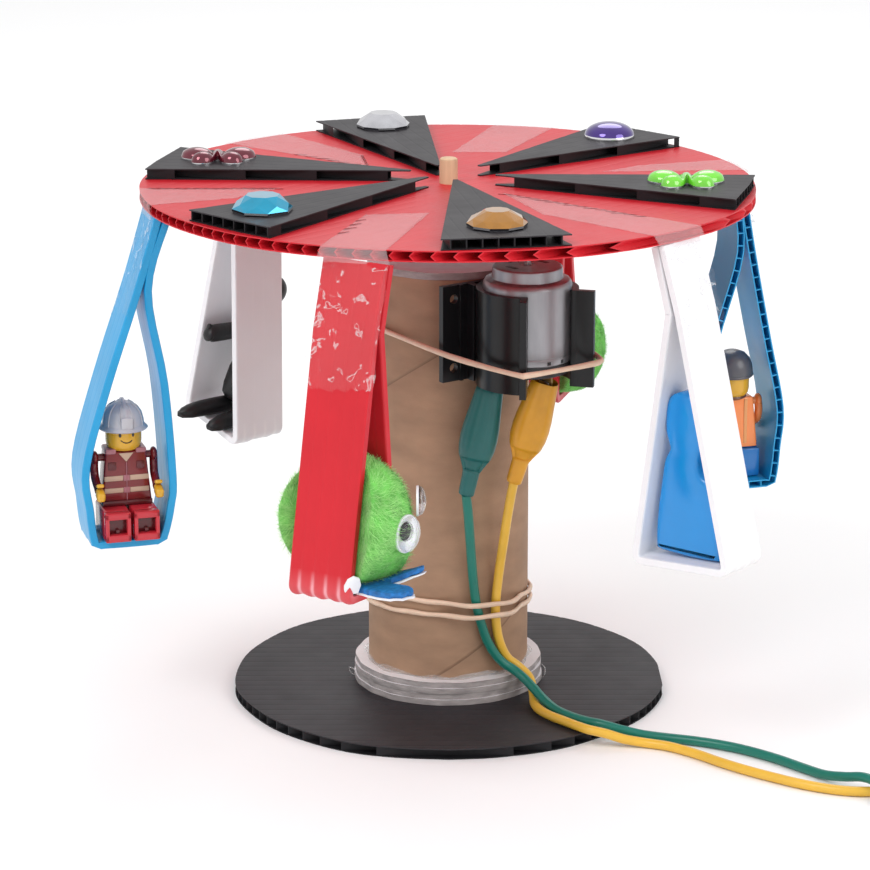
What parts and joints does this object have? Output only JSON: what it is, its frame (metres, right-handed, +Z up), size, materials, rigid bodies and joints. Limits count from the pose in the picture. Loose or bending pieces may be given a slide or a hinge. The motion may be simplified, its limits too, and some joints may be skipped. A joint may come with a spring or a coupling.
{
  "type": "table-top model carousel",
  "caption": "Table-top craft merry-go-round: corrugated disc on a cardboard tube turned by a small motor and rubber belt, with strip swings and toy riders.",
  "frame": {"origin": "centre of the base disc's underside, on the table", "axes": "+Z up along the axle; -Y towards the viewer; the motor stands on the tube at the front right"},
  "size_m": [0.2846, 0.2272, 0.153],
  "materials": {
    "black_sheet": "satin corrugated plastic sheet",
    "red_sheet": "satin corrugated plastic sheet",
    "blue_sheet": "satin corrugated plastic sheet",
    "white_sheet": "satin corrugated plastic sheet",
    "chipboard": "grey chipboard, white faces",
    "kraft": "matt kraft paper tube",
    "glue": "clear hot glue",
    "white_plastic": "satin",
    "dark_plastic": "satin",
    "black_gloss": "moulded gloss",
    "motor_steel": "plated, satin",
    "plated_steel": "plated",
    "brass": "stamped",
    "band_rubber": "natural rubber band",
    "green_vinyl": "soft vinyl",
    "yellow_vinyl": "soft vinyl",
    "amber_vinyl": "soft vinyl",
    "round_gem": "faceted acrylic, foil backed, in four colours",
    "butterfly_gem": "moulded acrylic, one lime and one maroon",
    "clear_tape": "clear adhesive tape",
    "birch": "raw dowel",
    "jacket_red": "moulded",
    "trouser_red": "moulded",
    "toy_yellow": "moulded",
    "helmet_silver": "pearl moulded",
    "vest_orange": "moulded",
    "trouser_blue": "moulded",
    "cap_grey": "moulded",
    "doll_black": "moulded",
    "lime_fur": "pompom yarn",
    "eye_white": "googly eyes with clear domes",
    "foot_blue": "foam sheet",
    "figure_blue": "moulded gloss"
  },
  "bodies": {
    "stand": {"base_disc": "black_sheet", "foot_discs": "chipboard", "foot_glue": "glue", "tube": "kraft", "tube_cap": "chipboard", "lower_bearing": "chipboard", "thrust_washer": "white_plastic", "motor_can": "motor_steel", "motor_end_cap": "dark_plastic", "motor_terminals": "brass", "motor_holder": "black_gloss", "holder_band": "band_rubber", "cord_band": "band_rubber", "drive_belt": "band_rubber", "green_boot": "green_vinyl", "yellow_boot": "amber_vinyl", "near_jaws": "plated_steel", "green_cord": "green_vinyl", "green_coil": "green_vinyl", "green_far_boot": "green_vinyl", "yellow_cord": "yellow_vinyl", "yellow_coil": "yellow_vinyl", "yellow_far_boot": "amber_vinyl", "far_jaws": "plated_steel"},
    "carousel": {"top_disc": "red_sheet", "wedges": "black_sheet", "round_gems": "round_gem", "butterfly_gems": "butterfly_gem", "hinge_tapes": "clear_tape", "axle_dowel": "birch", "driven_pulley": "chipboard", "axle_collar": "white_plastic"},
    "motor_rotor": {"motor_shaft": "plated_steel", "motor_pulley": "white_plastic"},
    "swing_a": {"blue_swing_a": "blue_sheet", "firefighter_torso": "jacket_red", "firefighter_legs": "trouser_red"},
    "firefighter_head": {"firefighter_head": "toy_yellow", "firefighter_helmet": "helmet_silver"},
    "firefighter_arm_out": {"firefighter_arm_out": "jacket_red"},
    "firefighter_arm_in": {"firefighter_arm_in": "jacket_red"},
    "swing_b": {"white_swing_b": "white_sheet", "black_doll": "doll_black"},
    "swing_c": {"red_swing_c": "red_sheet", "pompom_c": "lime_fur", "pompom_eyes": "eye_white", "pompom_feet": "foot_blue"},
    "swing_d": {"red_swing_d": "red_sheet", "pompom_d": "lime_fur"},
    "swing_e": {"white_swing_e": "white_sheet", "blue_figure": "figure_blue", "figure_tag": "white_plastic"},
    "swing_f": {"blue_swing_f": "blue_sheet", "worker_torso": "vest_orange", "worker_legs": "trouser_blue"},
    "worker_head": {"worker_head": "toy_yellow", "worker_cap": "cap_grey"},
    "worker_arm_out": {"worker_arm_out": "vest_orange"},
    "worker_arm_in": {"worker_arm_in": "vest_orange"}
  },
  "joints": [
    {"name": "carousel_spin", "type": "hinge", "parent": "stand", "child": "carousel", "pos_m": [0, 0, 0.1424], "axis": [0, 0, 1], "continuous": true},
    {"name": "motor_spin", "type": "hinge", "parent": "stand", "child": "motor_rotor", "pos_m": [0.02099, -0.02998, 0.12], "axis": [0, 0, 1], "continuous": true},
    {"name": "swing_a_lift", "type": "hinge", "parent": "carousel", "child": "swing_a", "pos_m": [-0.08123, -0.02329, 0.1424], "axis": [-0.2756, 0.9613, 0], "range_deg": [0, 60]},
    {"name": "swing_b_lift", "type": "hinge", "parent": "carousel", "child": "swing_b", "pos_m": [-0.0587, 0.06078, 0.1424], "axis": [0.7193, 0.6947, 0], "range_deg": [0, 60]},
    {"name": "swing_c_lift", "type": "hinge", "parent": "carousel", "child": "swing_c", "pos_m": [-0.02471, -0.08081, 0.1424], "axis": [-0.848, 0.5299, 0], "range_deg": [0, 60]},
    {"name": "swing_d_lift", "type": "hinge", "parent": "carousel", "child": "swing_d", "pos_m": [0.02751, 0.0799, 0.1424], "axis": [0.9455, -0.3256, 0], "range_deg": [0, 60]},
    {"name": "swing_e_lift", "type": "hinge", "parent": "carousel", "child": "swing_e", "pos_m": [0.06078, -0.0587, 0.1424], "axis": [-0.6293, -0.7771, 0], "range_deg": [0, 60]},
    {"name": "swing_f_lift", "type": "hinge", "parent": "carousel", "child": "swing_f", "pos_m": [0.08123, 0.02329, 0.1424], "axis": [0.2756, -0.9613, 0], "range_deg": [0, 60]},
    {"name": "firefighter_head_turn", "type": "hinge", "parent": "swing_a", "child": "firefighter_head", "pos_m": [-0.08853, -0.02539, 0.077], "axis": [0, 0, 1], "continuous": true},
    {"name": "firefighter_arm_out_lift", "type": "hinge", "parent": "swing_a", "child": "firefighter_arm_out", "pos_m": [-0.08853, -0.02539, 0.075], "axis": [-0.9613, -0.2756, 0], "range_deg": [0, 60]},
    {"name": "firefighter_arm_in_lift", "type": "hinge", "parent": "swing_a", "child": "firefighter_arm_in", "pos_m": [-0.08853, -0.02539, 0.075], "axis": [-0.9613, -0.2756, 0], "range_deg": [0, 60]},
    {"name": "worker_head_turn", "type": "hinge", "parent": "swing_f", "child": "worker_head", "pos_m": [0.08084, 0.02318, 0.0788], "axis": [0, 0, 1], "continuous": true},
    {"name": "worker_arm_out_lift", "type": "hinge", "parent": "swing_f", "child": "worker_arm_out", "pos_m": [0.08084, 0.02318, 0.0768], "axis": [0.9613, 0.2756, 0], "range_deg": [0, 60]},
    {"name": "worker_arm_in_lift", "type": "hinge", "parent": "swing_f", "child": "worker_arm_in", "pos_m": [0.08084, 0.02318, 0.0768], "axis": [0.9613, 0.2756, 0], "range_deg": [0, 60]}
  ],
  "couplings": [
    {"joint": "motor_spin", "follows": "carousel_spin", "ratio": 4.125}
  ]
}
